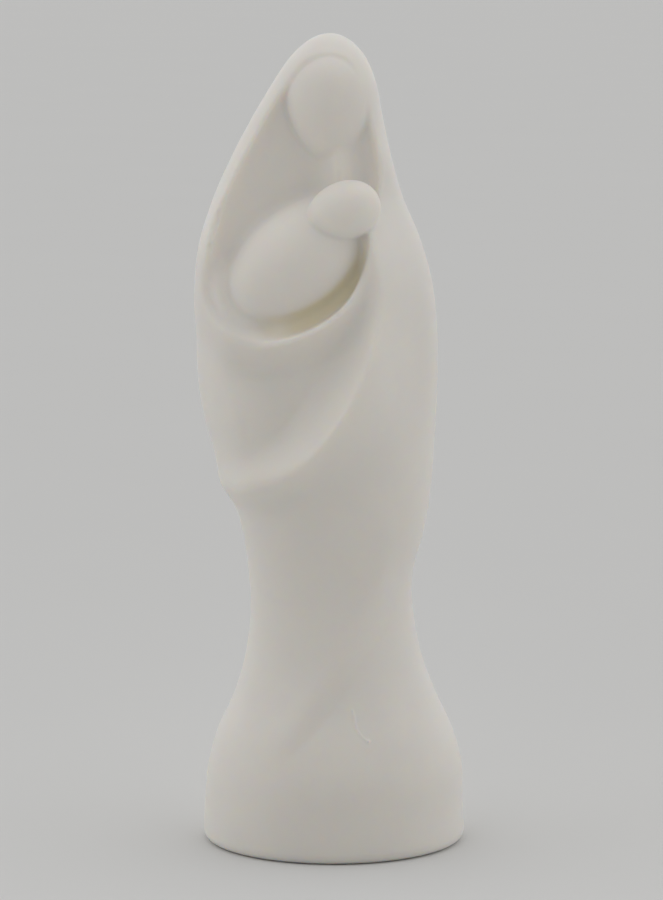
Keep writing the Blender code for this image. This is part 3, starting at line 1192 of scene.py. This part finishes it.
@dataclass(frozen=True)
class FloorFinish:
    """Plain pale grey paper with a faint mottle."""

    colour: Colour = (0.715, 0.713, 0.703)
    roughness: float = 0.9
    gloss: float = 0.1
    mottle_scale: float = 9.0
    mottle_detail: float = 3.0
    mottle_share: float = 0.985

    def make(self) -> bpy.types.Material:
        """Builds the material.

        Returns:
            The material.
        """
        material = bpy.data.materials.new("pale_paper")
        material.use_nodes = True
        bench = NodeBench(material.node_tree)
        shader = material.node_tree.nodes["Principled BSDF"]
        shader.inputs["Roughness"].default_value = self.roughness
        shader.inputs["Specular IOR Level"].default_value = self.gloss
        place = bench.add("ShaderNodeTexCoord").outputs["Object"]
        mottle = bench.add("ShaderNodeTexNoise", Scale=self.mottle_scale, Detail=self.mottle_detail)
        bench.link(place, mottle.inputs["Vector"])
        darker = tuple(self.mottle_share * part for part in self.colour)
        bench.link(bench.mix(mottle.outputs["Fac"], darker, self.colour), shader.inputs["Base Color"])
        return material


@dataclass(frozen=True)
class Lamp:
    """A soft round lamp. Places and sizes are in metres."""

    name: str
    place: Triple
    aim: Triple
    size: float
    watts: float

    def hang(self) -> bpy.types.Object:
        """Hangs the lamp and turns it to its aim.

        Returns:
            The lamp's object.
        """
        data = bpy.data.lights.new(self.name, "AREA")
        data.shape = "DISK"
        data.size = self.size
        data.energy = self.watts
        obj = bpy.data.objects.new(self.name, data)
        obj.location = self.place
        towards = Vector(self.aim) - Vector(self.place)
        obj.rotation_euler = towards.to_track_quat("-Z", "Y").to_euler()
        bpy.context.scene.collection.objects.link(obj)
        return obj


@dataclass(frozen=True)
class Studio:
    """A pale floor in soft light, brightest at the sides and behind, two soft lamps and the camera.

    Lengths are in metres and angles in degrees. The sky turns from dark to bright with the way's Y.
    """

    floor_size: float = 30.0
    sky_front: float = 0.05
    sky_turn: Pair = (-0.86, -0.34)
    sky_back: float = 1.0
    sky_strength: float = 0.82
    lamps: tuple[Lamp, ...] = (
        Lamp("left_lamp", (-0.12, -0.26, 0.27), (0.0, -0.02, 0.15), 0.16, 0.076),
        Lamp("right_lamp", (0.15, -0.25, 0.22), (0.0, -0.02, 0.16), 0.16, 0.051),
    )
    camera_distance: float = 1.05
    camera_elevation: float = 8.0
    camera_aim: float = 0.09741
    lens_pixels: float = 4251.2
    frame_height: int = 900
    sensor: float = 36.0
    nearest: float = 0.05

    def floor(self, finish: FloorFinish) -> bpy.types.Object:
        """Lays the floor and gives it its finish.

        Args:
            finish: The floor's finish.

        Returns:
            The floor's object.
        """
        mesh = bpy.data.meshes.new("studio_floor")
        bm = bmesh.new()
        bmesh.ops.create_grid(bm, x_segments=1, y_segments=1, size=self.floor_size / 2.0)
        bm.to_mesh(mesh)
        bm.free()
        obj = bpy.data.objects.new("studio_floor", mesh)
        bpy.context.scene.collection.objects.link(obj)
        mesh.materials.append(finish.make())
        return obj

    def sky(self) -> bpy.types.World:
        """Makes the soft light that comes from all round.

        Returns:
            The scene's world.
        """
        world = bpy.data.worlds.new("soft_tent")
        world.use_nodes = True
        bench = NodeBench(world.node_tree)
        background = world.node_tree.nodes["Background"]
        background.inputs["Strength"].default_value = self.sky_strength
        way = bench.add("ShaderNodeSeparateXYZ")
        bench.link(bench.add("ShaderNodeTexCoord").outputs["Generated"], way.inputs[0])
        depth = bench.remap(way.outputs["Y"], self.sky_turn, (self.sky_front, self.sky_back), Ramp.SMOOTH)
        bench.link(depth, background.inputs["Color"])
        bpy.context.scene.world = world
        return world

    def camera(self) -> bpy.types.Object:
        """Stands the camera at the photograph's place.

        Returns:
            The camera's object.
        """
        data = bpy.data.cameras.new("studio_camera")
        data.sensor_fit = "VERTICAL"
        data.sensor_height = self.sensor
        data.lens = self.sensor * self.lens_pixels / self.frame_height
        data.clip_start = self.nearest
        obj = bpy.data.objects.new("studio_camera", data)
        tilt = math.radians(self.camera_elevation)
        back = Vector((0.0, -math.cos(tilt), math.sin(tilt)))
        obj.location = Vector((0.0, 0.0, self.camera_aim)) + back * self.camera_distance
        obj.rotation_euler = (math.radians(90.0) - tilt, 0.0, 0.0)
        bpy.context.scene.collection.objects.link(obj)
        bpy.context.scene.camera = obj
        return obj


def main() -> None:
    """Builds the casting and the studio, and reports the casting's triangle count."""
    logging.basicConfig(level=logging.INFO, format="%(name)s: %(message)s", stream=sys.stdout)
    bpy.context.scene.view_settings.view_transform = "Standard"
    studio = Studio()
    studio.camera()
    studio.sky()
    for lamp in studio.lamps:
        lamp.hang()
    studio.floor(FloorFinish())
    statue = Statue(resolution=Resolution.FULL)
    casting = statue.build()
    statue.dress(casting, CastFinish())
    triangles = sum(len(face.vertices) - 2 for face in casting.data.polygons)
    LOG.info("%s: %d triangles", casting.name, triangles)


if __name__ == "__main__":
    main()
